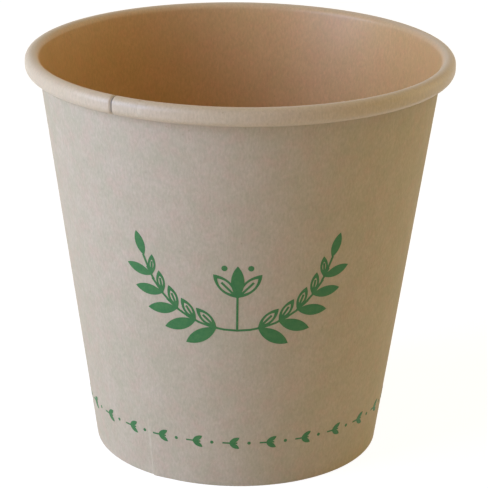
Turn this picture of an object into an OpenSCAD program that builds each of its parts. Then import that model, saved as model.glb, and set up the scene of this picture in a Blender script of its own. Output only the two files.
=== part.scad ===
// Single-wall drinking cup of bamboo-fibre board, in millimetres.
// It stands on z = 0 with its axis on Z. The front of the print faces -Y.

/* [Cup] */
// Outer diameter over the rolled rim
rim_d = 90; // [80:1:100]
// Height from the table to the top of the rim
cup_h = 86; // [70:1:110]
// Outer diameter of the side wall at the table
base_d = 61; // [54:1:66]
// Height of the hollow under the bottom disc
recess_h = 7; // [5:0.5:12]

/* [Board and film] */
// Thickness of the side wall's board
board_t = 0.35; // [0.28:0.01:0.45]
// Thickness of the bottom disc's board
disc_t = 0.28; // [0.2:0.01:0.4]
// Thickness of the sealing film on the inner faces
film_t = 0.04; // [0.03:0.005:0.06]

/* [Rolled rim] */
// Width of the roll, from the inside of the wall to its outer edge
roll_w = 3; // [2.6:0.1:3.4]
// Height of the roll
roll_h = 3.8; // [3.6:0.1:5]
// How far the tail inside the roll turns on, in degrees
tail_turn = 150; // [60:5:170]

/* [Side seam] */
// Place of the slit on the rim, in degrees to the right of the front
slit_az = -34; // [-60:1:-10]
// Width of the overlap at the rim
lap_w = 6; // [4:0.5:9]
// Width of the open slit on the rim
slit_w = 0.26; // [0.15:0.01:0.5]
// Share of its thickness that each board keeps in the pressed overlap
press_share = 0.68; // [0.62:0.01:0.8]

/* [Print] */
// Height of the middle of the sprigs above the table
sprig_z = 47; // [38:1:60]
// Radius of the curve that each sprig follows
sprig_r = 20.5; // [16:0.5:24]
// Pairs of leaves on each sprig
leaf_pairs = 5; // [3:1:6]
// Length of the largest leaf
leaf_l = 7.4; // [5:0.2:9]
// Width of the largest leaf
leaf_w = 2.8; // [2.4:0.1:3.6]
// Width of a drawn line
line_w = 0.46; // [0.3:0.02:0.6]
// Height of the middle of the lower band above the table
band_z = 10.2; // [8:0.2:20]
// Number of twigs round the lower band
twigs = 26; // [16:1:30]
// Length of one twig's leaf
twig_leaf_l = 2.5; // [1.6:0.1:3]
// Thickness of the printed ink
ink_t = 0.03; // [0.02:0.005:0.05]

/* [Hidden] */
$fn = 96;

board_colour = [0.76, 0.70, 0.60];
film_colour = [0.72, 0.62, 0.48];
disc_colour = [0.70, 0.60, 0.46];
ink_colour = [0.28, 0.50, 0.32];

// Steps of the fold, the roll and the bottom's bend, each for its whole turn
fold_steps = 16;
roll_steps = 18;
tail_steps = 10;
bend_steps = 6;

// How far the foot is pressed flat where it stands
foot_flat = 0.04;
// How much smaller the tail turns than the roll round it
tail_draw = 0.35;
// Inner radius of the bottom disc's bend
bend_r = 0.6;
// Distance of the hem's top from the bend, and of the skirt's end from the fold
hem_clear = 0.3;
skirt_clear = 0.2;
// Gap at the outer lap's free edge
edge_gap = 0.06;
// Share of the overlap's extra thickness that shows on the coated side
proud_share = 0.7;
// Height over which the overlap changes sides above the bottom
change_h = 14;
// How far a printed shape's cutter reaches to either side of the wall
ink_reach = 1.2;
// Widths on the rim become whole steps of this many degrees, so that sectors meet exactly
angle_step = 0.01;

// Roll: centre of its upper arc, and the radius of the bare side of the board there
roll_r = roll_w / 2;
roll_bare_r = roll_r - board_t - film_t;
roll_c = [rim_d / 2 - roll_r, cup_h - roll_r];
roll_low_c = roll_c - [0, roll_h - roll_w];
tail_r = roll_r - tail_draw;
tail_c = roll_low_c - [0, roll_r - tail_r];

// Wall: its outer line runs from the base radius and touches the roll's bare circle
base_r = base_d / 2;
reach = norm(roll_c - [base_r, 0]);
tilt = atan2(roll_c[0] - base_r, roll_c[1]) - asin(roll_bare_r / reach);
up = [sin(tilt), cos(tilt)];
in = [-cos(tilt), sin(tilt)];

// Fold: the hem turns up round the bottom's skirt
fold_r = board_t + film_t + (film_t + disc_t) / 2;
fold_c = [base_r, 0] + up * (fold_r - foot_flat - fold_r * sin(tilt)) / cos(tilt) + in * fold_r;
hem_l = recess_h - bend_r - hem_clear - fold_c[1];

// Overlap: pressed board, and what the two boards and films hold beyond one of each
lap_t = board_t * press_share;
lap_extra = 2 * lap_t + film_t - board_t;

// Turning a width on the rim into degrees, and the sector that the overlap fills
function deg_of(w) = angle_step * round(w / (rim_d / 2) * 180 / PI / angle_step);
slit_a = slit_az - 90;
lap_a = slit_a + deg_of(lap_w);

// Radius of the wall's outer face at a height
function wall_r(z) = base_r + z * tan(tilt);

// A station holds a point on the bare side, the way to the coated side, and the
// share of the overlap's extra thickness that goes to the coated side there
function station(p, way, share) = [p[0], p[1], way[0], way[1], share];
function round_way(a) = [cos(a), sin(a)];
function arc(c, r, a0, a1, steps, facing, s0, s1) = [
    for (i = [0 : steps])
        let (a = a0 + (a1 - a0) * i / steps)
        station(c + r * round_way(a), facing * round_way(a), s0 + (s1 - s0) * i / steps)
];

fold_end = fold_c - fold_r * in;
roll_start = roll_c + roll_bare_r * in;
function on_wall_line(z) = [wall_r(z), z];

wall_stations = [
    station(fold_end, in, 0),
    station(on_wall_line(recess_h + bend_r + disc_t), in, 0),
    station(on_wall_line(recess_h + change_h), in, proud_share),
    station(roll_start, in, proud_share)
];

blank_stations = concat(
    [station(fold_c + fold_r * in + hem_l * up, -in, 0)],
    arc(fold_c, fold_r, 180 - tilt, 360 - tilt, fold_steps, -1, 0, 0),
    [wall_stations[1], wall_stations[2]],
    arc(roll_c, roll_bare_r, 180 - tilt, 0, roll_steps, 1, proud_share, proud_share),
    arc(roll_low_c, roll_bare_r, 0, -90, roll_steps / 2, 1, proud_share, 0),
    arc(tail_c, tail_r - board_t - film_t, -90, -90 - tail_turn, tail_steps, 1, 0, 0)
);

// In the overlap the two boards stop one step sooner inside the roll
lap_stations = [for (i = [0 : len(blank_stations) - 2]) blank_stations[i]];

// Skirt: its bare side lies on the hem, and it ends above the fold
skirt_in = board_t + 2 * film_t + disc_t;
bend_z = recess_h - bend_r;
bend_c = on_wall_line(bend_z - (skirt_in + bend_r) * sin(tilt)) + (skirt_in + bend_r) * in;
skirt_end = fold_c + (skirt_in - fold_r) * in + skirt_clear * up;

disc_stations = concat(
    [station([0, recess_h], [0, 1], 0)],
    arc(bend_c, bend_r, 90, -tilt, bend_steps, 1, 0, 0),
    [station(skirt_end, -in, 0)]
);

// A depth is [distance from the bare side, 1 in the overlap or 0 elsewhere]
function depth_at(s, depth) = depth[0] - depth[1] * lap_extra * (1 - s[4]);
function at(s, depth) = [
    s[0] + depth_at(s, depth) * s[2],
    max(s[1] + depth_at(s, depth) * s[3], 0)
];

// Section of a layer between two depths along some stations
module section(stations, from, to) {
    last = len(stations) - 1;
    polygon(concat(
        [for (s = stations) at(s, from)],
        [for (i = [last : -1 : 0]) at(stations[i], to)]
    ));
}

// The same layer turned through part of the circle
module layer(stations, from, to, start_a, end_a) {
    rotate_extrude(start = start_a, angle = end_a - start_a) section(stations, from, to);
}

// One blank: hem, fold, wall and rolled rim, lapped over itself at the side seam
module side_wall() {
    color(board_colour) union() {
        layer(blank_stations, [0, 0], [board_t, 0], lap_a, slit_a + 360);
        layer(lap_stations, [0, 1], [lap_t, 1], slit_a, lap_a - deg_of(edge_gap));
        layer(lap_stations, [lap_t + film_t, 1], [2 * lap_t + film_t, 1],
            slit_a + deg_of(slit_w), lap_a);
    }
}

// Sealing film on the blank's inner face, with the strip between the two boards of the overlap
module wall_lining() {
    color(film_colour) union() {
        layer(blank_stations, [board_t, 0], [board_t + film_t, 0], lap_a, slit_a + 360);
        layer(lap_stations, [lap_t, 1], [lap_t + film_t, 1], slit_a, lap_a - deg_of(edge_gap));
        layer(lap_stations, [2 * lap_t + film_t, 1], [2 * (lap_t + film_t), 1],
            slit_a + deg_of(slit_w), lap_a);
    }
}

// Bottom disc with its skirt, held between the wall and the hem
module bottom_disc() {
    color(disc_colour) rotate_extrude() section(disc_stations, [0, 0], [disc_t, 0]);
}

// Sealing film on the bottom disc and on the outside of its skirt
module bottom_lining() {
    color(film_colour) rotate_extrude() section(disc_stations, [disc_t, 0], [disc_t + film_t, 0]);
}

// Thin skin on the outer face of the wall, which the printed shapes are cut from
module ink_skin() {
    layer(wall_stations, [-ink_t, 0], [0, 0], lap_a, slit_a + 360);
    layer(wall_stations, [-ink_t, 1], [0, 1], slit_a, lap_a - deg_of(edge_gap));
}

// Cutter for a flat shape, square to the wall at a place that is x round from the front
module cutter_at(x, z) {
    rotate([0, 0, x / wall_r(z) * 180 / PI])
        translate([0, -wall_r(z), z])
            rotate([90 + tilt, 0, 0])
                linear_extrude(height = 2 * ink_reach, center = true) children();
}

// Leaf with its stalk at the origin, lying along X
module leaf(l, w) {
    round_r = (l * l + w * w) / (4 * w);
    intersection() {
        translate([l / 2, round_r - w / 2]) circle(round_r);
        translate([l / 2, w / 2 - round_r]) circle(round_r);
    }
}

// Leaf drawn as an outline with a rib down its middle
module open_leaf(l, w) {
    difference() {
        leaf(l, w);
        translate([line_w * l / w, 0]) leaf(l * (1 - 2 * line_w / w), w - 2 * line_w);
    }
    translate([0, -line_w / 2]) square([l * rib_share, line_w]);
}

// Sprigs: shares of the curve and of the largest leaf, chosen by eye
rib_share = 0.66;
first_leaf_share = 0.16;
tip_leaf_share = 0.74;
open_leaf_share = 0.8;
sprig_turn = 74;
outer_spread = 44;
inner_spread = 34;
bud_spread = 44;
bud_share = 0.96;
bud_lift = 7.4;
berry_r = 0.62;

// A place on a sprig's curve at turn a, as [x round the wall, height]
function on_sprig(side, a) = [side * sprig_r * sin(a), sprig_z + sprig_r * (0.5 - cos(a))];
function leaf_turn(i) = sprig_turn * (first_leaf_share + (1 - first_leaf_share) * i / leaf_pairs);
function leaf_size(i) = 1 - (1 - tip_leaf_share) * i / leaf_pairs;
function open_leaf_size(i) = open_leaf_share * leaf_size(i);

module sprig(side) {
    for (i = [0 : leaf_pairs - 1]) {
        p = on_sprig(side, leaf_turn(i));
        cutter_at(p[0], p[1]) mirror([side < 0 ? 1 : 0, 0]) rotate(leaf_turn(i) - outer_spread)
            leaf(leaf_l * leaf_size(i), leaf_w * leaf_size(i));
        cutter_at(p[0], p[1]) mirror([side < 0 ? 1 : 0, 0]) rotate(leaf_turn(i) + inner_spread)
            open_leaf(leaf_l * open_leaf_size(i), leaf_w * open_leaf_size(i));
    }
    tip = on_sprig(side, sprig_turn);
    cutter_at(tip[0], tip[1]) mirror([side < 0 ? 1 : 0, 0]) rotate(sprig_turn)
        leaf(leaf_l * tip_leaf_share, leaf_w * tip_leaf_share);
    stem_steps = 2 * leaf_pairs;
    for (i = [0 : stem_steps - 1]) {
        p = on_sprig(side, sprig_turn * (i + 0.5) / stem_steps);
        stem_l = 2 * sprig_r * sin(sprig_turn / stem_steps / 2);
        cutter_at(p[0], p[1]) mirror([side < 0 ? 1 : 0, 0]) rotate(sprig_turn * (i + 0.5) / stem_steps)
            square([stem_l + line_w, line_w], center = true);
    }
}

// Bud over the middle: one full leaf between two open ones, with a berry in each gap
module bud() {
    foot = on_sprig(1, 0);
    cutter_at(0, foot[1] + bud_lift / 2) square([line_w, bud_lift], center = true);
    for (turn = [-bud_spread, 0, bud_spread])
        cutter_at(0, foot[1] + bud_lift) rotate(90 + turn)
            if (turn == 0) leaf(leaf_l * bud_share, leaf_w * bud_share);
            else open_leaf(leaf_l * bud_share, leaf_w * bud_share);
    for (turn = [-bud_spread / 2, bud_spread / 2])
        cutter_at(0, foot[1] + bud_lift) rotate(90 + turn) translate([leaf_l * bud_share, 0]) circle(berry_r);
}

// Two leafy sprigs that curve up from the middle of the front
module printed_sprigs() {
    color(ink_colour) intersection() {
        ink_skin();
        union() {
            sprig(1);
            sprig(-1);
            bud();
        }
    }
}

// Twig of the lower band: a stalk, two leaves and a berry
twig_leaf_share = 0.42;
twig_spread = 32;
twig_stalk_share = 1.1;
twig_line_w = 0.34;
twig_berry_r = 0.36;

module twig() {
    stalk_l = twig_leaf_l * twig_stalk_share;
    translate([-stalk_l, -twig_line_w / 2]) square([stalk_l + twig_line_w, twig_line_w]);
    for (turn = [-twig_spread, twig_spread])
        translate([-stalk_l / 2, 0]) rotate(turn) leaf(twig_leaf_l, twig_leaf_l * twig_leaf_share);
    translate([twig_leaf_l * twig_stalk_share, 0]) circle(twig_berry_r);
}

// Band of small twigs all round the foot of the wall
module printed_band() {
    color(ink_colour) intersection() {
        ink_skin();
        union() {
            for (i = [0 : twigs - 1])
                rotate([0, 0, 360 / twigs * i]) cutter_at(0, band_z) twig();
        }
    }
}

side_wall();
wall_lining();
bottom_disc();
bottom_lining();
printed_sprigs();
printed_band();
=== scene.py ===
"""Looks of a single-wall drinking cup of bamboo-fibre board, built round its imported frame.

Lengths are in metres and angles in degrees. The cup stands on z = 0 with its axis on Z, and the
front of its print faces -Y. Each sheet is drawn as a profile, spun round the axis and thickened.
"""

import logging
from dataclasses import dataclass
from enum import Enum
from math import asin, atan2, cos, degrees, hypot, radians, sin, tan
from typing import Sequence

import bpy
import numpy as np
from mathutils import Matrix, Vector


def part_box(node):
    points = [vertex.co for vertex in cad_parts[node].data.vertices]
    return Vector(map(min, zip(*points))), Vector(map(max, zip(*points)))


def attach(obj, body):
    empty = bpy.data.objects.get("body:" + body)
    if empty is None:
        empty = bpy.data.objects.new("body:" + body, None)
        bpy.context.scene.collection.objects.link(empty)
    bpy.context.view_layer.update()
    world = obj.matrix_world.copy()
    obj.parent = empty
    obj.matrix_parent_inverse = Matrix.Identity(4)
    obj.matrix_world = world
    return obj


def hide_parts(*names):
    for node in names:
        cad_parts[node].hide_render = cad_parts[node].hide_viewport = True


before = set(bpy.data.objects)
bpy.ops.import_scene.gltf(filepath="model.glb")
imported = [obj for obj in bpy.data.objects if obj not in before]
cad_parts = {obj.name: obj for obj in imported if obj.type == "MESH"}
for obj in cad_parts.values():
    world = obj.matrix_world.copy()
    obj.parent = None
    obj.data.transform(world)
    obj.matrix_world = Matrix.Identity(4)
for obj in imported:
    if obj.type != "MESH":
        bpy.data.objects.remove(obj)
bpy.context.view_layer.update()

MM = 0.001
BODY = "root"
AXIS_Z = (0.0, 0.0, 1.0)
MERGE_GAP = 0.0005 * MM
SMOOTH_ANGLE = 38.0
ANGLE_SLACK = 0.02
WEIGHT_DIGITS = 4

log = logging.getLogger("cup")

Object = bpy.types.Object
Material = bpy.types.Material
Socket = bpy.types.NodeSocket
Colour = tuple[float, float, float]
Point = tuple[float, float]
Range = tuple[float, float]


# Hand tools: short forms of the modelling operators


def deselect_all() -> None:
    """Deselect every object, so that the next operator acts on the new piece alone."""
    bpy.ops.object.select_all(action="DESELECT")


def pick(piece: Object) -> None:
    """Make one piece the only selected one, and the active one.

    Args:
        piece: The object to pick.
    """
    deselect_all()
    piece.select_set(True)
    bpy.context.view_layer.objects.active = piece


def edit(piece: Object, whole: bool = True) -> None:
    """Open one piece in edit mode.

    Args:
        piece: The mesh object to work on.
        whole: Whether all of it is selected, or none of it.
    """
    pick(piece)
    bpy.ops.object.mode_set(mode="EDIT")
    bpy.ops.mesh.select_all(action="SELECT" if whole else "DESELECT")


def close_edit() -> None:
    """Go back to object mode."""
    bpy.ops.object.mode_set(mode="OBJECT")


def first_vertex(name: str, place: Vector) -> Object:
    """Start a piece as one vertex: a small plane merged at its centre.

    Args:
        name: Name of the new piece.
        place: Where the vertex lies.

    Returns:
        The new object, left in edit mode with its vertex selected.
    """
    deselect_all()
    bpy.ops.mesh.primitive_plane_add(size=MM, location=place)
    piece = bpy.context.object
    piece.name = name
    piece.data.name = name
    bpy.ops.object.mode_set(mode="EDIT")
    bpy.ops.mesh.merge(type="CENTER")
    return piece


def spin(angle: float, steps: int, centre: Vector = Vector()) -> None:
    """Spin what is selected about a vertical axis. The operator's own angle runs clockwise.

    Args:
        angle: How far to turn, anticlockwise.
        steps: Number of new rings.
        centre: A point on the axis.
    """
    bpy.ops.mesh.spin(steps=steps, angle=-radians(angle), center=centre, axis=AXIS_Z)


def join(parts: Sequence[Object], name: str) -> Object:
    """Join parts into one piece.

    Args:
        parts: The mesh objects.
        name: Name of the joined piece.

    Returns:
        The first part, which now holds them all.
    """
    pick(parts[0])
    for part in parts:
        part.select_set(True)
    bpy.ops.object.join()
    parts[0].name = name
    parts[0].data.name = name
    return parts[0]


def flatten_at_table(piece: Object) -> None:
    """Press whatever hangs below the table flat onto it.

    Args:
        piece: The mesh object.
    """
    edit(piece, whole=False)
    close_edit()
    for vertex in piece.data.vertices:
        vertex.select = vertex.co.z < 0
    bpy.ops.object.mode_set(mode="EDIT")
    bpy.ops.transform.resize(value=(1, 1, 0), center_override=(0, 0, 0))
    close_edit()


def settle(piece: Object) -> None:
    """Apply a piece's placing, so that its object sits at the origin.

    Args:
        piece: The object to settle.
    """
    pick(piece)
    bpy.ops.object.transform_apply(location=True, rotation=True, scale=True)


def weight_group(piece: Object, name: str, weights: np.ndarray) -> None:
    """Store one weight per vertex as a vertex group.

    Args:
        piece: The mesh object.
        name: Name of the group.
        weights: A weight from 0 to 1 for each vertex.
    """
    group = piece.vertex_groups.new(name=name)
    near = np.round(weights, WEIGHT_DIGITS)
    for value in np.unique(near):
        if value > 0:
            group.add(np.flatnonzero(near == value).tolist(), float(value), "REPLACE")


def apply_modifier(piece: Object, kind: str, **settings: object) -> None:
    """Add a modifier, set it and apply it at once.

    Args:
        piece: The mesh object.
        kind: The modifier's type.
        **settings: Values for its properties.
    """
    pick(piece)
    modifier = piece.modifiers.new(name=kind.lower(), type=kind)
    for key, value in settings.items():
        setattr(modifier, key, value)
    bpy.ops.object.modifier_apply(modifier=modifier.name)


def merge_close(piece: Object) -> None:
    """Merge the vertices of a piece that lie on one another.

    Args:
        piece: The mesh object.
    """
    edit(piece)
    bpy.ops.mesh.remove_doubles(threshold=MERGE_GAP)
    close_edit()


def face_like(piece: Object, spot: Vector, way: Vector) -> None:
    """Make all faces agree, with the one nearest a spot facing a given way.

    Args:
        piece: The mesh object, an open sheet.
        spot: A point on or near the sheet.
        way: The direction that the face there should look in.
    """
    edit(piece)
    bpy.ops.mesh.normals_make_consistent(inside=False)
    close_edit()
    nearest = min(piece.data.polygons, key=lambda face: (face.center - spot).length)
    if nearest.normal.dot(way) < 0:
        edit(piece)
        bpy.ops.mesh.flip_normals()
        close_edit()


def smooth(piece: Object) -> None:
    """Shade a piece smooth, with its cut edges left sharp.

    Args:
        piece: The mesh object.
    """
    pick(piece)
    bpy.ops.object.shade_smooth_by_angle(angle=radians(SMOOTH_ANGLE))


def in_one_turn(angle: np.ndarray) -> np.ndarray:
    """Bring angles into the turn that starts just under 0."""
    return (angle + ANGLE_SLACK) % 360 - ANGLE_SLACK


def ease(share: np.ndarray) -> np.ndarray:
    """Turn a straight run from 0 to 1 into one that starts and ends gently."""
    return share * share * (3 - 2 * share)


# Finishes: node materials for board, film, cut edges and ink


class Graph:
    """Node tree of a material or of the world, with short forms for adding and joining nodes."""

    def __init__(self, owner: Material | bpy.types.World) -> None:
        """Start with an empty tree.

        Args:
            owner: The new material or world.
        """
        owner.use_nodes = True
        self.owner = owner
        self.tree = owner.node_tree
        self.tree.nodes.clear()

    def add(self, kind: str, sockets: dict[str, object] | None = None, **props: object) -> bpy.types.Node:
        """Add a node.

        Args:
            kind: The node's type, without its ShaderNode prefix.
            sockets: Input values, or output sockets to join to, by input name.
            **props: Values for the node's own properties.

        Returns:
            The new node.
        """
        node = self.tree.nodes.new("ShaderNode" + kind)
        for key, value in props.items():
            setattr(node, key, value)
        for key, value in (sockets or {}).items():
            if isinstance(value, Socket):
                self.tree.links.new(value, node.inputs[key])
            else:
                node.inputs[key].default_value = value
        return node

    def math(self, operation: str, *values: object) -> Socket:
        """Add a calculation with one or two values.

        Args:
            operation: What the node works out.
            *values: Numbers or sockets.

        Returns:
            The result's socket.
        """
        return self.add("Math", dict(enumerate(values)), operation=operation).outputs["Value"]

    def noise(self, place: Socket, size: float, octaves: float = 4.0, harshness: float = 0.6) -> Socket:
        """Add a noise whose features are about a given size.

        Args:
            place: The coordinates to read.
            size: Size of a feature in metres.
            octaves: Number of finer octaves.
            harshness: How strong the finer octaves are.

        Returns:
            The noise's value socket.
        """
        node = self.add("TexNoise", {"Vector": place, "Scale": 1 / size, "Detail": octaves,
                                     "Roughness": harshness})
        return node.outputs["Fac"]

    def span(self, value: Socket, ends: Range, to: Range) -> Socket:
        """Map a value's range onto another, clamped.

        Args:
            value: The socket to read.
            ends: The values that become the new range's ends.
            to: The new range.

        Returns:
            The mapped value's socket.
        """
        node = self.add("MapRange", {"Value": value, "From Min": ends[0], "From Max": ends[1],
                                     "To Min": to[0], "To Max": to[1]})
        return node.outputs["Result"]

    def seen(self) -> Socket:
        """Add a value of 1 for what is seen straight on, in a reflection or through glass.

        Returns:
            The value's socket.
        """
        rays = self.add("LightPath").outputs
        either = self.math("MAXIMUM", rays["Is Camera Ray"], rays["Is Glossy Ray"])
        return self.math("MAXIMUM", either, rays["Is Transmission Ray"])

    def blend(self, share: Socket, first: object, second: object) -> Socket:
        """Mix two colours.

        Args:
            share: Share of the second colour.
            first: A colour or a colour socket.
            second: A colour or a colour socket.

        Returns:
            The mixed colour's socket.
        """
        node = self.add("Mix", data_type="RGBA")
        self.tree.links.new(share, node.inputs["Factor"])
        for socket, colour in ((node.inputs[6], first), (node.inputs[7], second)):
            if isinstance(colour, Socket):
                self.tree.links.new(colour, socket)
            else:
                socket.default_value = (*colour, 1.0)
        return node.outputs[2]

    def finish(self, surface: Socket, output: str = "OutputMaterial") -> Material | bpy.types.World:
        """Join a shader to the output.

        Args:
            surface: The shader's socket.
            output: The output node's type.

        Returns:
            The finished material or world.
        """
        self.add(output, {"Surface": surface})
        return self.owner


@dataclass(frozen=True)
class FibreBoard:
    """Unbleached board: cloudy tan pulp with a fine fibre grain and rare specks, and painted light and
    shade on the roll where a roll colour is given.

    Attributes:
        name: The material's name.
        base: Colour of the pulp.
        cloud: Colour of its darker, greener clouds.
        blush: Colour of its redder patches.
        speck: Colour of the bark specks.
        roughness: Mean roughness of the surface.
        gloss: Specular level of the surface.
        relief: Height of the fibres in the bump.
        roll_light_and_shade: Colour painted onto the roll, standing in for its light and shade, or None.
    """

    name: str
    base: Colour
    cloud: Colour
    blush: Colour
    speck: Colour
    roughness: float
    gloss: float
    relief: float
    roll_light_and_shade: Colour | None = None

    cloud_size: float = 5.5 * MM
    cloud_span: Range = (0.4, 0.64)
    cloud_share: float = 0.55
    blush_size: float = 3.6 * MM
    blush_span: Range = (0.46, 0.64)
    blush_share: float = 0.6
    blush_place: tuple[float, float, float] = (0.31, 0.17, 0.23)
    mottle_size: float = 1.5 * MM
    mottle_span: Range = (0.38, 0.66)
    mottle_share: float = 0.42
    fibre_size: float = 0.4 * MM
    fibre_stretch: tuple[float, float, float] = (1.0, 1.0, 0.4)
    fibre_harshness: float = 0.65
    fibre_span: Range = (0.3, 0.7)
    grain: float = 0.1
    speck_size: float = 1.9 * MM
    speck_span: Range = (0.05, 0.13)
    rare_span: Range = (0.52, 0.62)
    speck_share: float = 0.25
    roughness_swing: float = 0.06
    roll_span: Range = (41.9 * MM, 43.0 * MM)
    roll_light_and_shade_share: float = 0.6
    # Painted shade along the slit: the dark band's middle angle, its half width in degrees, its strength
    # and its colour.
    slit_middle_a: float = -123.83
    painted_slit_reach: float = 0.38
    painted_slit_share: float = 3.0
    painted_slit_shade: Colour = (0.035, 0.02, 0.012)

    def material(self) -> Material:
        """Build the node material.

        Returns:
            The material.
        """
        graph = Graph(bpy.data.materials.new(self.name))
        place = graph.add("TexCoord").outputs["Object"]
        lying = graph.add("Mapping", {"Vector": place, "Scale": self.fibre_stretch}).outputs["Vector"]
        fibre = graph.noise(lying, self.fibre_size, harshness=self.fibre_harshness)
        grain = graph.span(fibre, self.fibre_span, (1 - self.grain, 1 + self.grain))
        colour = self.pulp(graph, place)
        if self.roll_light_and_shade:
            colour = self.paint_roll_light(graph, place, colour)
        colour = graph.add("VectorMath", {0: colour, "Scale": grain}, operation="SCALE").outputs["Vector"]
        colour = graph.blend(self.dots(graph, place), colour, self.speck)
        rough = graph.span(fibre, self.fibre_span,
                           (self.roughness - self.roughness_swing, self.roughness + self.roughness_swing))
        bump = graph.add("Bump", {"Height": fibre, "Strength": 1.0, "Distance": self.relief})
        skin = graph.add("BsdfPrincipled", {"Base Color": colour, "Roughness": rough,
                                            "Specular IOR Level": self.gloss,
                                            "Normal": bump.outputs["Normal"]})
        return graph.finish(skin.outputs["BSDF"])

    def pulp(self, graph: Graph, place: Socket) -> object:
        """Mix the pulp's clouds, blush and mottling.

        Args:
            graph: The material's nodes.
            place: The coordinates to read.

        Returns:
            The colour's socket.
        """
        aside = graph.add("Mapping", {"Vector": place, "Location": self.blush_place}).outputs["Vector"]
        colour: object = self.base
        for spot, size, ends, share, tint in (
            (place, self.cloud_size, self.cloud_span, self.cloud_share, self.cloud),
            (aside, self.blush_size, self.blush_span, self.blush_share, self.blush),
            (aside, self.mottle_size, self.mottle_span, self.mottle_share, self.cloud),
        ):
            patch = graph.span(graph.noise(spot, size), ends, (0.0, share))
            colour = graph.blend(patch, colour, tint)
        return colour

    def dots(self, graph: Graph, place: Socket) -> Socket:
        """Place the rare specks.

        Args:
            graph: The material's nodes.
            place: The coordinates to read.

        Returns:
            The socket of their share.
        """
        cells = graph.add("TexVoronoi", {"Vector": place, "Scale": 1 / self.speck_size, "Randomness": 1.0})
        spots = graph.span(cells.outputs["Distance"], self.speck_span, (1.0, 0.0))
        patches = graph.noise(place, 2 * self.speck_size, octaves=1.0, harshness=0.5)
        return graph.math("MULTIPLY", spots, graph.span(patches, self.rare_span, (0.0, self.speck_share)))

    def paint_roll_light(self, graph: Graph, place: Socket, colour: object) -> Socket:
        """Paint light and shade onto the roll: a paler, cooler film where the roll catches the lamps,
        near-black cut edges there, and painted shade along the slit.

        Args:
            graph: The material's nodes.
            place: The coordinates to read.
            colour: The pulp's colour.

        Returns:
            The new colour's socket.
        """
        flat = graph.add("VectorMath", {0: place, 1: (1, 1, 0)}, operation="MULTIPLY").outputs["Vector"]
        reach = graph.add("VectorMath", {0: flat}, operation="LENGTH").outputs["Value"]
        # Share of the roll's painted light and shade, rising across the roll's inner edge.
        roll_light_and_shade = graph.span(reach, self.roll_span, (0.0, self.roll_light_and_shade_share))
        # Painted shade: a dark band centred on the slit's angle, laid only where the roll paint lies.
        parts = graph.add("SeparateXYZ", {"Vector": place}).outputs
        angle = graph.math("ARCTAN2", parts["Y"], parts["X"])
        off = graph.math("ABSOLUTE", graph.math("SUBTRACT", angle, radians(self.slit_middle_a)))
        shade = graph.span(off, (0.0, radians(self.painted_slit_reach)), (self.painted_slit_share, 0.0))
        colour = graph.blend(roll_light_and_shade, colour, self.roll_light_and_shade)
        return graph.blend(graph.math("MULTIPLY", shade, roll_light_and_shade), colour, self.painted_slit_shade)


@dataclass(frozen=True)
class PrintInk:
    """Thin flexo ink that lets the board's mottling through.

    Attributes:
        name: The material's name.
        deep: Colour where the ink lies full.
        thin: Colour where it lies thin.
        roughness: Roughness of the ink.
    """

    name: str
    deep: Colour
    thin: Colour
    roughness: float

    patch_size: float = 1.1 * MM
    patch_span: Range = (0.4, 0.72)
    patch_share: float = 0.6
    grain_size: float = 0.22 * MM
    grain_span: Range = (0.55, 0.72)
    grain_share: float = 0.5
    gloss: float = 0.35

    def material(self) -> Material:
        """Build the node material.

        Returns:
            The material.
        """
        graph = Graph(bpy.data.materials.new(self.name))
        place = graph.add("TexCoord").outputs["Object"]
        patch = graph.span(graph.noise(place, self.patch_size), self.patch_span, (0.0, self.patch_share))
        fine = graph.noise(place, self.grain_size, octaves=2.0, harshness=0.5)
        grain = graph.span(fine, self.grain_span, (0.0, self.grain_share))
        colour = graph.blend(patch, self.deep, self.thin)
        colour = graph.blend(grain, colour, self.thin)
        skin = graph.add("BsdfPrincipled", {"Base Color": colour, "Roughness": self.roughness,
                                            "Specular IOR Level": self.gloss})
        return graph.finish(skin.outputs["BSDF"])


BOARD = FibreBoard("wall_pulp", (0.55, 0.455, 0.325), (0.455, 0.405, 0.265), (0.555, 0.412, 0.298),
                   (0.26, 0.17, 0.09), 0.7, 0.2, 0.012 * MM)
DISC_BOARD = FibreBoard("disc_pulp", (0.52, 0.43, 0.29), (0.42, 0.385, 0.235), (0.525, 0.37, 0.255),
                        (0.2, 0.12, 0.05), 0.7, 0.2, 0.02 * MM)
# The film's deep, red tone is partly the coated side's own warmer colour and partly painted shade and warm
# bounce of the cup's hollow. Its last colour is painted light, paler and cooler, where the roll catches
# the lamps.
FILM = FibreBoard("seal_film", (0.65, 0.405, 0.185), (0.575, 0.38, 0.16), (0.65, 0.372, 0.175),
                  (0.28, 0.16, 0.07), 0.42, 0.45, 0.006 * MM, (0.55, 0.505, 0.39))
# The cut edge's last colour is painted shade: near black where the edges lie in the roll, at the slit.
CUT_EDGE = FibreBoard("cut_edge", (0.45, 0.35, 0.225), (0.38, 0.3, 0.18), (0.44, 0.32, 0.2),
                      (0.2, 0.12, 0.06), 0.85, 0.2, 0.03 * MM, (0.02, 0.01, 0.005))
INK = PrintInk("leaf_ink", (0.034, 0.158, 0.043), (0.075, 0.21, 0.06), 0.55)


# The cup's own sizes and the profiles of its sheets


@dataclass(frozen=True)
class Station:
    """One point of a sheet's profile, on the bare side of its board.

    Attributes:
        r: Distance from the cup's axis.
        z: Height above the table.
        share: Share of the overlap's extra thickness that goes to the coated side there.
    """

    r: float
    z: float
    share: float = 0.0

    def turned(self, angle: float) -> Vector:
        """Place the station at an angle round the axis."""
        a = radians(angle)
        return Vector((self.r * cos(a), self.r * sin(a), max(self.z, 0.0)))


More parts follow.
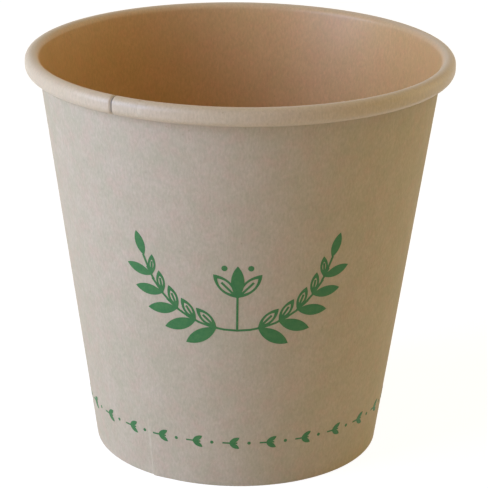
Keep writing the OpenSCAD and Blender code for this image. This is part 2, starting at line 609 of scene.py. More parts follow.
def arc(centre: Point, radius: float, start: float, end: float, steps: int,
        shares: Range = (0.0, 0.0)) -> list[Station]:
    """Lay stations along an arc.

    Args:
        centre: Centre of the arc, as distance from the axis and height.
        radius: Radius of the arc.
        start: Angle where it starts.
        end: Angle where it ends.
        steps: Number of its equal parts.
        shares: Share at its start and at its end.

    Returns:
        One station more than there are steps.
    """
    stations = []
    for i in range(steps + 1):
        t = i / steps
        a = radians(start + (end - start) * t)
        share = shares[0] + (shares[1] - shares[0]) * t
        stations.append(Station(centre[0] + radius * cos(a), centre[1] + radius * sin(a), share))
    return stations


@dataclass(frozen=True)
class CupShape:
    """Sizes of the cup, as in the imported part, and how finely its sheets are drawn.

    Attributes:
        rim_r: Outer radius of the rim's roll.
        cup_h: Height to the top of the roll.
        base_r: Outer radius of the wall at the table.
        recess_h: Height of the hollow under the bottom disc.
        board_t: Thickness of the wall's board.
        disc_t: Thickness of the bottom disc's board.
        film_t: Thickness of the sealing film.
        roll_w: Width of the roll.
        roll_h: Height of the roll.
        tail_turn: How far the tail turns on inside the roll.
        slit_a: Angle of the slit on the rim.
        lap_w: Width of the overlap at the rim.
        slit_w: Width of the open slit.
        press_share: Share of its thickness that each board keeps in the overlap.
        foot_flat: How far the foot is pressed flat.
        tail_draw: How much smaller the tail turns than the roll.
        bend_r: Inner radius of the bottom disc's bend.
        hem_clear: Distance of the hem's top from that bend.
        skirt_clear: Distance of the skirt's end from the fold.
        edge_press: How far the outer lap's free edge is pressed into the wall beside it.
        flush_share: Share of the overlap's extra thickness on the wall's coated side.
        level_a: Angle on the roll from which its coated side stays level in the overlap.
        change_h: Height over which the overlap changes sides above the bottom.
        hem_shares: Places of the hem's stations, from 1 at its top to 0 at the fold.
        flat_shares: Places of the disc's stations, from its middle to its bend.
        skirt_shares: Places of the skirt's stations, from the bend to its end.
        fold_steps: Parts of the fold's arc.
        wall_steps: Parts of each of the wall's two stretches.
        turn_steps: Parts of the roll's arc where the overlap comes level.
        roll_steps: Parts of the rest of the roll's upper arc.
        low_steps: Parts of the roll's lower arc.
        tail_steps: Parts of the tail's arc.
        bend_steps: Parts of the bottom disc's bend.
    """

    rim_r: float
    cup_h: float = 86 * MM
    base_r: float = 30.5 * MM
    recess_h: float = 7 * MM
    board_t: float = 0.35 * MM
    disc_t: float = 0.28 * MM
    film_t: float = 0.04 * MM
    roll_w: float = 3 * MM
    roll_h: float = 3.8 * MM
    tail_turn: float = 150.0
    slit_a: float = -124.0
    lap_w: float = 6 * MM
    slit_w: float = 0.26 * MM
    press_share: float = 0.68
    foot_flat: float = 0.04 * MM
    tail_draw: float = 0.35 * MM
    bend_r: float = 0.6 * MM
    hem_clear: float = 0.3 * MM
    skirt_clear: float = 0.2 * MM
    edge_press: float = 0.104 * MM
    flush_share: float = 0.97
    level_a: float = 118.0
    change_h: float = 9 * MM
    hem_shares: tuple[float, ...] = (1, 0.94, 0.86, 0.72, 0.58, 0.44, 0.3, 0.16, 0.08)
    flat_shares: tuple[float, ...] = (0, 0.2, 0.4, 0.6, 0.75, 0.86, 0.94)
    skirt_shares: tuple[float, ...] = (0.33, 0.66, 1)
    fold_steps: int = 20
    wall_steps: int = 8
    turn_steps: int = 9
    roll_steps: int = 19
    low_steps: int = 13
    tail_steps: int = 16
    bend_steps: int = 9

    @property
    def roll_bare_r(self) -> float:
        """Radius of the board's bare side in the roll."""
        return self.roll_w / 2 - self.board_t - self.film_t

    @property
    def roll_c(self) -> Point:
        """Centre of the roll's upper arc."""
        return self.rim_r - self.roll_w / 2, self.cup_h - self.roll_w / 2

    @property
    def tilt(self) -> float:
        """Lean of the wall from the vertical."""
        across, up = self.roll_c[0] - self.base_r, self.roll_c[1]
        return degrees(atan2(across, up) - asin(self.roll_bare_r / hypot(across, up)))

    @property
    def fold_r(self) -> float:
        """Radius of the board's bare side in the fold at the foot."""
        return self.board_t + self.film_t + (self.film_t + self.disc_t) / 2

    @property
    def fold_c(self) -> Point:
        """Centre of the fold.

        Returns:
            Its distance from the axis and its height.
        """
        lean = radians(self.tilt)
        rise = (self.fold_r - self.foot_flat - self.fold_r * sin(lean)) / cos(lean)
        return self.off_wall(self.fold_r, (self.base_r + rise * sin(lean), rise * cos(lean)))

    @property
    def lap_t(self) -> float:
        """Thickness of a pressed board."""
        return self.board_t * self.press_share

    @property
    def lap_extra(self) -> float:
        """What the overlap holds beyond one board and its film."""
        return 2 * self.lap_t + self.film_t - self.board_t

    def wall_r(self, z: float) -> float:
        """Radius of the wall's outer face at a height."""
        return self.base_r + z * tan(radians(self.tilt))

    def off_wall(self, depth: float, spot: Point) -> Point:
        """Move a spot square to the wall, into the cup."""
        lean = radians(self.tilt)
        return spot[0] - depth * cos(lean), spot[1] + depth * sin(lean)

    def along_wall(self, length: float, spot: Point) -> Point:
        """Move a spot up the wall's slope."""
        lean = radians(self.tilt)
        return spot[0] + length * sin(lean), spot[1] + length * cos(lean)

    def turn_of(self, width: float) -> float:
        """Turn a width on the rim into degrees round the axis, to a hundredth."""
        return round(degrees(width / self.rim_r), 2)

    def hem_stations(self) -> list[Station]:
        """Lay the hem's stations, from its top down to the fold.

        Returns:
            The stations, in that order.
        """
        length = self.recess_h - self.bend_r - self.hem_clear - self.fold_c[1]
        foot = self.off_wall(self.fold_r, self.fold_c)
        return [Station(*self.along_wall(length * share, foot)) for share in self.hem_shares]

    def wall_stations(self) -> list[Station]:
        """Lay the wall's stations, from the bottom disc up to the roll.

        Returns:
            The stations, in that order.
        """
        seat_z = self.recess_h + self.bend_r + self.disc_t
        top_z = self.roll_c[1] + self.roll_bare_r * sin(radians(self.tilt))
        stations = []
        for t in np.linspace(0, 1, self.wall_steps + 1):
            z = seat_z + t * self.change_h
            stations.append(Station(self.wall_r(z), z, self.flush_share * float(ease(t))))
        for z in np.linspace(seat_z + self.change_h, top_z, self.wall_steps + 1)[1:-1]:
            stations.append(Station(self.wall_r(z), z, self.flush_share))
        return stations

    def blank_stations(self) -> list[Station]:
        """Lay the wall blank's profile: hem, fold, wall, roll and the tail inside the roll.

        Returns:
            Its stations, in that order.
        """
        lean, low_c = self.tilt, (self.roll_c[0], self.roll_c[1] - self.roll_h + self.roll_w)
        tail_c = (low_c[0], low_c[1] - self.tail_draw)
        tail_r = self.roll_bare_r - self.tail_draw
        shares = (self.flush_share, 0)
        return [
            *self.hem_stations(),
            *arc(self.fold_c, self.fold_r, 180 - lean, 360 - lean, self.fold_steps),
            *self.wall_stations(),
            *arc(self.roll_c, self.roll_bare_r, 180 - lean, self.level_a, self.turn_steps, shares),
            *arc(self.roll_c, self.roll_bare_r, self.level_a, 0, self.roll_steps)[1:],
            *arc(low_c, self.roll_bare_r, 0, -90, self.low_steps),
            *arc(tail_c, tail_r, -90, -90 - self.tail_turn, self.tail_steps)[1:],
        ]

    def disc_stations(self) -> list[Station]:
        """Lay the bottom disc's profile: the disc, its bend and its skirt.

        Returns:
            Its stations, in that order.
        """
        lean = self.tilt
        depth = self.board_t + 2 * self.film_t + self.disc_t
        bend_z = self.recess_h - self.bend_r
        z = bend_z - (depth + self.bend_r) * sin(radians(lean))
        bend_c = self.off_wall(depth + self.bend_r, (self.wall_r(z), z))
        top = bend_c[1] + self.bend_r
        flat = [Station(bend_c[0] * share, top) for share in self.flat_shares]
        bend = arc(bend_c, self.bend_r, 90, -lean, self.bend_steps)
        end = self.along_wall(self.skirt_clear, self.off_wall(depth - self.fold_r, self.fold_c))
        start = bend[-1]
        skirt = [Station(start.r + (end[0] - start.r) * share, start.z + (end[1] - start.z) * share)
                 for share in self.skirt_shares]
        return [*flat, *bend, *skirt]


# Sheets: the wall blank and the bottom disc, each with its film


class Stage(Enum):
    """Stretch of the wall blank round the cup, in the order that it is wrapped."""

    UNDER = "under"
    RELAX = "relax"
    ROUND = "round"
    CLIMB = "climb"


class Layer(Enum):
    """Layer of a sheet: the board itself, or the film on its coated side."""

    BOARD = "board"
    FILM = "film"


@dataclass
class Sheet:
    """A board, or the film on its coated side, that is spun round the cup's axis.

    Attributes:
        shape: The cup's sizes.
        layer: Which layer to build.
        node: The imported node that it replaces.
        slot: The record's material slot.
        finishes: Finish of its faces, and of its cut edges.
    """

    shape: CupShape
    layer: Layer
    node: str
    slot: str
    finishes: tuple[FibreBoard, ...]

    def spun(self, stations: Sequence[Station], start: float, turns: Sequence[tuple[float, int]],
             ending: str = "_sheet") -> Object:
        """Draw a profile by extruding a vertex along it, and spin it round the cup.

        Args:
            stations: The profile.
            start: Angle where the spin starts.
            turns: Turn and number of rings of each stretch.
            ending: What the piece's name adds to its node's.

        Returns:
            The open sheet.
        """
        line = [station.turned(start) for station in stations]
        piece = first_vertex(self.node + ending, line[0])
        for here, there in zip(line, line[1:]):
            bpy.ops.mesh.extrude_region_move(TRANSFORM_OT_translate={"value": there - here})
        bpy.ops.mesh.select_all(action="SELECT")
        for turn, steps in turns:
            spin(turn, steps)
        close_edit()
        settle(piece)
        return piece

    def thicken(self, piece: Object, board_t: float, kept: str = "") -> None:
        """Give the sheet its thickness, with the last finish on a board's cut edges.

        Args:
            piece: The open sheet, with its bare side outward.
            board_t: The board's thickness.
            kept: Vertex group of the share of it that is kept, if any.
        """
        if self.layer is Layer.FILM:
            apply_modifier(piece, "SOLIDIFY", thickness=self.shape.film_t, offset=-1)
        else:
            apply_modifier(piece, "SOLIDIFY", thickness=board_t, offset=-1, vertex_group=kept,
                           material_offset_rim=len(self.finishes) - 1)


@dataclass
class WallSheet(Sheet):
    """The wall blank or its film, wrapped once round and lapped over itself at the side seam."""

    under_rings: int = 10
    relax_rings: int = 6
    round_rings: int = 236
    climb_rings: int = 5
    outer_rings: int = 11
    relax_w: float = 0.1 * MM
    climb_w: float = 0.6 * MM
    rib_h: float = 0.07 * MM

    @property
    def start_a(self) -> float:
        """Angle of the under lap's free edge."""
        return self.shape.slit_a + self.shape.turn_of(self.shape.slit_w)

    def stages(self) -> list[tuple[Stage, float, int]]:
        """List each stage with its turn in degrees and its number of rings.

        Returns:
            The stages, in the order that they are wrapped.
        """
        turn = self.shape.turn_of
        relax, climb = turn(self.relax_w), turn(self.climb_w)
        under = turn(self.shape.lap_w) - turn(self.shape.slit_w)
        around = 360 - turn(self.shape.lap_w) - relax - climb
        return [(Stage.UNDER, under, self.under_rings), (Stage.RELAX, relax, self.relax_rings),
                (Stage.ROUND, around, self.round_rings), (Stage.CLIMB, climb, self.climb_rings)]

    def lap_shares(self, turned: np.ndarray) -> tuple[np.ndarray, np.ndarray, np.ndarray]:
        """Work out how each vertex of the first turn lies in the overlap, and on the ribs.

        Args:
            turned: Each vertex's angle from the under lap's free edge.

        Returns:
            Shares for the under lap and for the over lap, and 1 on every other ring of the round stretch.
        """
        under, over, ribbed = (np.zeros(len(turned)) for _ in range(3))
        start = 0.0
        for stage, turn, steps in self.stages():
            along = (turned - start) / turn
            inside = (along > -ANGLE_SLACK / turn) & (along < 1 + ANGLE_SLACK / turn)
            gentle = ease(np.clip(along, 0, 1))
            if stage is Stage.UNDER:
                under[inside] = 1
            if stage is Stage.RELAX:
                under[inside] = 1 - gentle[inside]
            if stage is Stage.ROUND:
                ribbed[inside] = (np.round(along * steps) % 2)[inside]
            if stage is Stage.CLIMB:
                over[inside] = gentle[inside]
            start += turn
        return under, over, ribbed

    def weigh(self, piece: Object, whole_lap: bool) -> None:
        """Store how far each vertex moves square to the sheet, and the thickness that it keeps.

        Args:
            piece: A wrapped sheet.
            whole_lap: Whether the sheet is the outer lap.
        """
        shape, stations = self.shape, self.shape.blank_stations()
        spots = np.array([v.co for v in piece.data.vertices])
        turned = in_one_turn(np.degrees(np.arctan2(spots[:, 1], spots[:, 0])) - self.start_a)
        if whole_lap:
            under, over, ribbed = np.zeros(len(spots)), np.ones(len(spots)), np.zeros(len(spots))
            lapped = in_one_turn(turned + shape.turn_of(shape.slit_w))
            stands = 1 - ease(np.clip(lapped / shape.turn_of(shape.lap_w), 0, 1))
        else:
            under, over, ribbed = self.lap_shares(turned)
            stands = np.ones(len(spots))
        line = np.array([(s.r, max(s.z, 0)) for s in stations])
        places = np.column_stack((np.hypot(spots[:, 0], spots[:, 1]), spots[:, 2]))
        index = np.array([int(np.argmin(((line - place) ** 2).sum(1))) for place in places])
        share = np.array([s.share for s in stations])[index]
        kept = 1 - (1 - shape.press_share) * np.maximum(under, over)
        proud = shape.lap_extra * (1 - share)
        lift = over * proud * stands - under * (shape.lap_t + shape.film_t - proud)
        inside_hem = (index > 1) & (index < len(shape.hem_shares) - 1)
        lift += self.rib_h * ribbed * inside_hem
        if self.layer is Layer.FILM:
            lift -= shape.board_t * kept
        weight_group(piece, "sunk", (shape.lap_extra - lift) / self.reach)
        weight_group(piece, "kept_thickness", kept)

    @property
    def reach(self) -> float:
        """Range of the moves square to the sheet, from the proudest to the deepest."""
        return self.shape.lap_extra + self.shape.lap_t + self.shape.film_t + self.shape.board_t

    def build(self) -> Object:
        """Model the sheet, with its overlap, ribs and thickness.

        Returns:
            The finished sheet.
        """
        shape, stations = self.shape, self.shape.blank_stations()
        first = self.spun(stations, self.start_a, [(turn, steps) for _, turn, steps in self.stages()])
        over_turn = shape.turn_of(shape.lap_w) + shape.turn_of(shape.edge_press)
        outer = self.spun(stations, shape.slit_a, [(over_turn, self.outer_rings)], "_lap")
        self.weigh(first, whole_lap=False)
        self.weigh(outer, whole_lap=True)
        piece = join([first, outer], first.name)
        merge_close(piece)
        front = Vector((0, -shape.wall_r(shape.cup_h / 2), shape.cup_h / 2))
        face_like(piece, front, Vector((0, -1, 0)))
        apply_modifier(piece, "DISPLACE", direction="NORMAL", strength=shape.lap_extra, mid_level=0.0)
        apply_modifier(piece, "DISPLACE", direction="NORMAL", strength=-self.reach, mid_level=0.0,
                       vertex_group="sunk")
        if self.layer is Layer.BOARD:
            flatten_at_table(piece)
        self.thicken(piece, shape.board_t, "kept_thickness")
        return dress(piece, self.finishes, self.node, self.slot)


def dress(piece: Object, finishes: Sequence[FibreBoard | PrintInk], node: str, slot: str) -> Object:
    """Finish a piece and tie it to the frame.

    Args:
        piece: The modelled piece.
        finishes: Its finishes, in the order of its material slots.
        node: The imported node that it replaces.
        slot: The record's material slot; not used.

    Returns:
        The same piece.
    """
    piece.vertex_groups.clear()
    piece.data.materials.clear()
    for finish in finishes:
        ready = bpy.data.materials.get(finish.name)
        piece.data.materials.append(ready or finish.material())
    smooth(piece)
    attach(piece, BODY)
    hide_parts(node)
    log.info("%s: %d faces", piece.name, len(piece.data.polygons))
    return piece


@dataclass
class BottomSheet(Sheet):
    """The bottom disc or its film: a flat disc with its skirt turned down."""

    rings: int = 192

    def build(self) -> Object:
        """Model the sheet and dress it.

        Returns:
            The finished sheet.
        """
        shape = self.shape
        piece = self.spun(shape.disc_stations(), 0, [(360, self.rings)])
        merge_close(piece)
        face_like(piece, Vector((0, 0, shape.recess_h)), Vector((0, 0, -1)))
        if self.layer is Layer.FILM:
            apply_modifier(piece, "DISPLACE", direction="NORMAL", strength=-shape.disc_t, mid_level=0.0)
        self.thicken(piece, shape.disc_t)
        return dress(piece, self.finishes, self.node, self.slot)


# Print: motifs drawn flat, wrapped on the wall and thickened


class Leaf(Enum):
    """How a leaf is drawn."""

    FULL = "full"
    OPEN = "open"


@dataclass
class Print:
    """Ink of one printed design: motifs drawn flat, then pressed onto the wall.

    Attributes:
        shape: The cup's sizes.
        wall: The modelled wall that the ink lies on.
        node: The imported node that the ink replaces.
    """

    shape: CupShape
    wall: Object
    node: str

    slot: str = "print_ink"
    ink_t: float = 0.03 * MM
    lift: float = 3 * MM
    strip_w: float = 0.5 * MM
    layer_step: float = 0.003 * MM
    edge_steps: int = 14
    dot_sides: int = 20
    line_w: float = 0.46 * MM
    berry_r: float = 0.62 * MM

    def leaf(self, kind: Leaf, length: float, width: float) -> Object:
        """Draw a pointed leaf, with its stalk at the origin and its tip along X.

        Args:
            kind: Full or open.
            length: Length of the leaf.
            width: Width at its middle.

        Returns:
            The flat leaf.
        """
        round_r = (length ** 2 + width ** 2) / (4 * width)
        half = degrees(asin(length / 2 / round_r))
        away = round_r - width / 2
        piece = first_vertex("leaf", Vector())
        spin(2 * half, self.edge_steps, Vector((length / 2, away, 0)))
        spin(2 * half, self.edge_steps, Vector((length / 2, -away, 0)))
        bpy.ops.mesh.select_all(action="SELECT")
        bpy.ops.mesh.remove_doubles(threshold=MERGE_GAP)
        if kind is Leaf.FULL:
            bpy.ops.mesh.edge_face_add()
        else:
            inner = 1 - 2 * self.line_w / width
            bpy.ops.mesh.extrude_region_move(TRANSFORM_OT_translate={"value": (0, 0, 0)})
            bpy.ops.transform.resize(value=(inner, inner, 1), center_override=(length / 2, 0, 0))
        close_edit()
        return piece

    def bar(self, start: Point, end: Point) -> Object:
        """Draw a straight line.

        Args:
            start: Where it starts.
            end: Where it ends.

        Returns:
            The flat line.
        """
        across, up = end[0] - start[0], end[1] - start[1]
        middle = ((start[0] + end[0]) / 2, (start[1] + end[1]) / 2, 0)
        deselect_all()
        bpy.ops.mesh.primitive_plane_add(size=1, location=middle, rotation=(0, 0, atan2(up, across)))
        piece = bpy.context.object
        piece.scale = (hypot(across, up), self.line_w, 1)
        settle(piece)
        return piece

    def berry(self, centre: Point) -> Object:
        """Draw a round berry, flat.

        Args:
            centre: Its centre.

        Returns:
            The flat berry.
        """
        deselect_all()
        bpy.ops.mesh.primitive_circle_add(vertices=self.dot_sides, radius=self.berry_r, fill_type="NGON",
                                          location=(*centre, 0))
        piece = bpy.context.object
        settle(piece)
        return piece

    def turn(self, piece: Object, angle: float, place: Point = (0.0, 0.0), flip: bool = False) -> Object:
        """Turn a flat motif about its stalk, mirror it if asked, and move it.

        Args:
            piece: The flat motif.
            angle: How far to turn it, anticlockwise.
            place: Where its stalk goes.
            flip: Whether to mirror it left to right.

        Returns:
            The same motif.
        """
        piece.data.transform(Matrix.Rotation(radians(angle), 4, "Z"))
        if flip:
            piece.data.transform(Matrix.Scale(-1, 4, Vector((1, 0, 0))))
        piece.data.transform(Matrix.Translation((*place, 0)))
        return piece

    def press_on(self, piece: Object, turn: float, z: float, level: int = 0) -> Object:
        """Press a flat motif onto the wall and give it the ink's thickness.

        Args:
            piece: The flat motif, drawn about the place where it goes.
            turn: Place round the wall from the front, in degrees.
            z: Height of the place.
            level: How many layers of ink lie under it.

        Returns:
            The wrapped motif.
        """
        self.cut_strips(piece)
        away = self.lift / cos(radians(self.shape.tilt))
        seat = Matrix.Rotation(radians(turn), 4, "Z")
        seat = seat @ Matrix.Translation((0, -self.shape.wall_r(z) - away, z))
        piece.matrix_world = seat @ Matrix.Rotation(radians(90 + self.shape.tilt), 4, "X")
        bpy.context.view_layer.update()
        apply_modifier(piece, "SHRINKWRAP", target=self.wall, wrap_method="PROJECT", use_project_z=True,
                       use_negative_direction=True, use_positive_direction=False,
                       offset=level * self.layer_step)
        apply_modifier(piece, "SOLIDIFY", thickness=self.ink_t, offset=1)
        settle(piece)
        return piece

    def cut_strips(self, piece: Object) -> None:
        """Cut a flat motif into narrow upright strips, so that it can follow the round wall.

        Args:
            piece: The flat motif.
        """
        xs = [vertex.co.x for vertex in piece.data.vertices]
        edit(piece)
        first, last = int(min(xs) // self.strip_w) + 1, int(max(xs) // self.strip_w)
        for i in range(first, last + 1):
            bpy.ops.mesh.select_all(action="SELECT")
            bpy.ops.mesh.bisect(plane_co=(i * self.strip_w, 0, 0), plane_no=(1, 0, 0))
        close_edit()
        face_like(piece, Vector(), Vector((0, 0, 1)))

    def finish(self, motifs: Sequence[Object]) -> Object:
        """Join the wrapped motifs into one piece and dress it.

        Args:
            motifs: The wrapped motifs.

        Returns:
            The finished print.
        """
        return dress(join(motifs, self.node + "_ink"), (INK,), self.node, self.slot)


@dataclass
class SprigPrint(Print):
    """Two leafy sprigs that curve up from the middle of the front, with a bud between them."""

    middle_z: float = 47 * MM
    curve_r: float = 20.5 * MM
    pairs: int = 5
    leaf_l: float = 7.4 * MM
    leaf_w: float = 2.8 * MM
    rib_share: float = 0.66
    first_share: float = 0.16
    tip_share: float = 0.74
    open_share: float = 0.8
    sprig_turn: float = 74.0
    outer_spread: float = 44.0
    inner_spread: float = 34.0
    bud_spread: float = 44.0
    bud_share: float = 0.96
    bud_lift: float = 7.4 * MM

    def on_curve(self, side: int, turn: float) -> Point:
        """Find a place on a sprig's curve.

        Args:
            side: 1 for the right sprig, -1 for the left one.
            turn: How far along the curve.

        Returns:
            The place round the wall from the front in degrees, and the height.
        """
        a = radians(turn)
        z = self.middle_z + self.curve_r * (0.5 - cos(a))
        return degrees(side * self.curve_r * sin(a) / self.shape.wall_r(z)), z

    def open_leaf(self, length: float, width: float) -> list[Object]:
        """Draw an open leaf and its rib, both with their stalk at the origin."""
        outline = self.leaf(Leaf.OPEN, length, width)
        return [outline, self.bar((0, 0), (length * self.rib_share, 0))]

    def sprig(self, side: int) -> list[Object]:
        """Make one sprig.

        Args:
            side: 1 for the right sprig, -1 for the left one.

        Returns:
            Its wrapped motifs.
        """
        made, flip = [], side < 0
        for i in range(self.pairs):
            share = i / self.pairs
            turn = self.sprig_turn * (self.first_share + (1 - self.first_share) * share)
            size = 1 - (1 - self.tip_share) * share
            at, z = self.on_curve(side, turn)
            full = self.leaf(Leaf.FULL, self.leaf_l * size, self.leaf_w * size)
            made.append(self.press_on(self.turn(full, turn - self.outer_spread, flip=flip), at, z))
            size *= self.open_share
            for level, part in enumerate(self.open_leaf(self.leaf_l * size, self.leaf_w * size)):
                part = self.turn(part, turn + self.inner_spread, flip=flip)
                made.append(self.press_on(part, at, z, level))
        at, z = self.on_curve(side, self.sprig_turn)
        tip = self.leaf(Leaf.FULL, self.leaf_l * self.tip_share, self.leaf_w * self.tip_share)
        made.append(self.press_on(self.turn(tip, self.sprig_turn, flip=flip), at, z))
        return made + self.stem(side)

    def stem(self, side: int) -> list[Object]:
        """Make the curved stem of one sprig, as short straight lines.

        Args:
            side: 1 for the right sprig, -1 for the left one.

        Returns:
            Its wrapped lines.
        """
        made, steps = [], 2 * self.pairs
        for i in range(steps):
            turn = self.sprig_turn * (i + 0.5) / steps
            half = self.curve_r * sin(radians(self.sprig_turn / steps / 2)) + self.line_w / 2
            line = self.turn(self.bar((-half, 0), (half, 0)), turn, flip=side < 0)
            at, z = self.on_curve(side, turn)
            made.append(self.press_on(line, at, z, level=2 + i % 2))
        return made

    def bud(self) -> list[Object]:
        """Make the bud: a full leaf between two open ones, on a stalk, with a berry in each gap.

        Returns:
            Its wrapped motifs.
        """
        foot = self.on_curve(1, 0)[1]
        top = foot + self.bud_lift
        length, width = self.leaf_l * self.bud_share, self.leaf_w * self.bud_share
        stalk = self.bar((0, -self.bud_lift / 2), (0, self.bud_lift / 2))
        made = [self.press_on(stalk, 0, foot + self.bud_lift / 2, level=4)]
        full = self.leaf(Leaf.FULL, length, width)
        made.append(self.press_on(self.turn(full, 90), 0, top, level=2))
        for side in (-1, 1):
            for level, part in enumerate(self.open_leaf(length, width)):
                made.append(self.press_on(self.turn(part, 90 + side * self.bud_spread), 0, top, level))
            berry = self.turn(self.berry((length, 0)), 90 + side * self.bud_spread / 2)
            made.append(self.press_on(berry, 0, top))
        return made

    def build(self) -> Object:
        """Print both sprigs and the bud."""
        return self.finish(self.sprig(1) + self.sprig(-1) + self.bud())


@dataclass
class FootPrint(Print):
    """Band of small twigs all round the foot of the wall."""

    middle_z: float = 10.2 * MM
    twigs: int = 26
    leaf_l: float = 2.5 * MM
    leaf_share: float = 0.42
    spread: float = 32.0
    stalk_share: float = 1.1
    line_w: float = 0.34 * MM
    berry_r: float = 0.36 * MM

    def twig(self) -> list[Object]:
        """Draw one twig flat: a stalk, two leaves and a berry.

        Returns:
            Its flat parts.
        """
        stalk = self.leaf_l * self.stalk_share
        parts = [self.bar((-stalk, 0), (self.line_w, 0)), self.berry((stalk, 0))]
        for side in (-1, 1):
            leaf = self.leaf(Leaf.FULL, self.leaf_l, self.leaf_l * self.leaf_share)
            parts.append(self.turn(leaf, side * self.spread, (-stalk / 2, 0)))
        return parts

    def build(self) -> Object:
        """Print the twigs round the wall.

        Returns:
            The finished print.
        """
        model, made = self.twig(), []
        for i in range(self.twigs):
            for level, part in enumerate(model):
                copy = part.copy()
                copy.data = part.data.copy()
                bpy.context.collection.objects.link(copy)
                made.append(self.press_on(copy, 360 / self.twigs * i, self.middle_z, level))
        for part in model:
            bpy.data.objects.remove(part)
        return self.finish(made)


# Studio: floor, white surround, soft lamps and the camera


@dataclass(frozen=True)
class Lamp:
    """A soft box that looks at the cup.

    Attributes:
        name: The lamp's name.
        azimuth: Where it stands, from the front towards +X.
        elevation: How high it stands.
        distance: Its distance from the cup's middle.
        width: Its width.
        height: Its height.
        colour: Colour of its light.
        power: Its power in watts.
    """

    name: str
    azimuth: float
    elevation: float
    distance: float
    width: float
    height: float
    colour: Colour
    power: float

    def build(self, aim: Vector) -> None:
        """Hang the lamp and turn it to a point.

        Args:
            aim: The point that it looks at.
        """
        place = aim + self.distance * looking_back(self.azimuth, self.elevation)
        deselect_all()
        bpy.ops.object.light_add(type="AREA", location=place)
        lamp = bpy.context.object
        lamp.name = self.name
        lamp.rotation_euler = (aim - place).to_track_quat("-Z", "Y").to_euler()
        lamp.data.shape = "RECTANGLE"
        lamp.data.size, lamp.data.size_y = self.width, self.height
        lamp.data.color, lamp.data.energy = self.colour, self.power


def looking_back(azimuth: float, elevation: float) -> Vector:
    """Direction from the cup towards a place round it.

    Args:
        azimuth: 0 at the front, towards +X.
        elevation: Above the horizon.

    Returns:
        A unit vector.
    """
    a, e = radians(azimuth), radians(elevation)
    return Vector((sin(a) * cos(e), -cos(a) * cos(e), sin(e)))


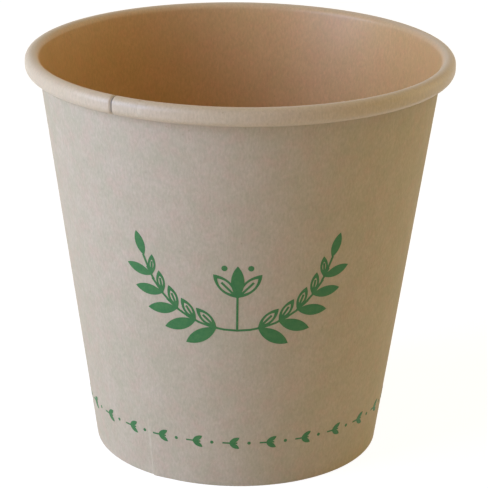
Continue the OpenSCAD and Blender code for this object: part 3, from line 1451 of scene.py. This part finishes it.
@dataclass
class Studio:
    """Pale floor, white surround, soft lamps and the camera of the photograph.

    Attributes:
        shape: The cup's sizes.
    """

    shape: CupShape

    elevation: float = 19.34
    roll: float = 0.696
    distance: float = 490.1 * MM
    aim_z: float = 43.08 * MM
    focal_px: float = 2274.7
    centre_px: Point = (238.15, 244.0)
    frame_px: float = 488.0
    sensor: float = 36.0
    clip_start: float = 10 * MM
    floor_size: float = 4.0
    floor_colour: Colour = (0.9, 0.9, 0.88)
    floor_seen: Colour = (0.25, 0.25, 0.25)
    floor_glow: float = 0.92
    ambient: Colour = (1.0, 0.73, 0.31)
    ambient_level: float = 0.395
    lamps: tuple[Lamp, ...] = (
        Lamp("window_front", -60, 20, 0.7, 0.4, 0.6, (0.32, 0.49, 1.0), 4.4),
        Lamp("window_side", -78, 15, 0.7, 0.25, 0.6, (0.86, 0.96, 1.0), 2.2),
        Lamp("rear_fill", 110, 20, 0.7, 0.4, 0.6, (1.0, 0.92, 0.66), 0.95),
    )

    def floor(self) -> None:
        """Lay the floor, plain to the light and white where it is seen."""
        deselect_all()
        bpy.ops.mesh.primitive_plane_add(size=self.floor_size)
        floor = bpy.context.object
        floor.name = "studio_floor"
        graph = Graph(bpy.data.materials.new("studio_floor"))
        plain = graph.add("BsdfDiffuse", {"Color": (*self.floor_colour, 1)}).outputs["BSDF"]
        shade = graph.add("BsdfDiffuse", {"Color": (*self.floor_seen, 1)}).outputs["BSDF"]
        glow = graph.add("Emission", {"Strength": self.floor_glow}).outputs["Emission"]
        lit = graph.add("AddShader", {0: shade, 1: glow}).outputs["Shader"]
        mix = graph.add("MixShader", {0: graph.seen(), 1: plain, 2: lit}).outputs["Shader"]
        floor.data.materials.append(graph.finish(mix))

    def surround(self) -> None:
        """Set the world: white where it is seen, a soft ambient light elsewhere."""
        graph = Graph(bpy.data.worlds.new("surround"))
        white = graph.add("Background", {"Color": (1, 1, 1, 1), "Strength": 1.0}).outputs["Background"]
        ambient = graph.add("Background", {"Color": (*self.ambient, 1), "Strength": self.ambient_level})
        mix = graph.add("MixShader", {0: graph.seen(), 1: ambient.outputs["Background"], 2: white})
        bpy.context.scene.world = graph.finish(mix.outputs["Shader"], "OutputWorld")

    def camera(self) -> None:
        """Set up the camera at the photograph's angle."""
        back = looking_back(0, self.elevation)
        right = Vector((1, 0, 0))
        up = back.cross(right)
        r = radians(self.roll)
        across, over = cos(r) * right + sin(r) * up, cos(r) * up - sin(r) * right
        deselect_all()
        bpy.ops.object.camera_add()
        camera = bpy.context.object
        turn = Matrix((across, over, back)).transposed().to_4x4()
        camera.matrix_world = Matrix.Translation(Vector((0, 0, self.aim_z)) + back * self.distance) @ turn
        camera.data.sensor_width = self.sensor
        camera.data.lens = self.focal_px / self.frame_px * self.sensor
        half = self.frame_px / 2
        camera.data.shift_x = (half - self.centre_px[0]) / self.frame_px
        camera.data.shift_y = (self.centre_px[1] - half) / self.frame_px
        camera.data.clip_start = self.clip_start
        bpy.context.scene.camera = camera

    def build(self) -> None:
        """Set up the whole studio."""
        aim = Vector((0, 0, self.shape.cup_h / 2))
        self.floor()
        self.surround()
        for lamp in self.lamps:
            lamp.build(aim)
        self.camera()
        bpy.context.scene.view_settings.view_transform = "Standard"


def main() -> None:
    """Build the cup's sheets, its print and the studio."""
    logging.basicConfig(level=logging.INFO, format="%(name)s %(message)s")
    shape = CupShape(rim_r=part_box("wall_lining")[1].x)
    wall = WallSheet(shape, Layer.BOARD, "side_wall", "wall_board", (BOARD, CUT_EDGE)).build()
    WallSheet(shape, Layer.FILM, "wall_lining", "lining_film", (FILM,)).build()
    BottomSheet(shape, Layer.BOARD, "bottom_disc", "bottom_board", (DISC_BOARD, CUT_EDGE)).build()
    BottomSheet(shape, Layer.FILM, "bottom_lining", "lining_film", (FILM,)).build()
    SprigPrint(shape, wall, "printed_sprigs").build()
    FootPrint(shape, wall, "printed_band").build()
    Studio(shape).build()


if __name__ == "__main__":
    main()
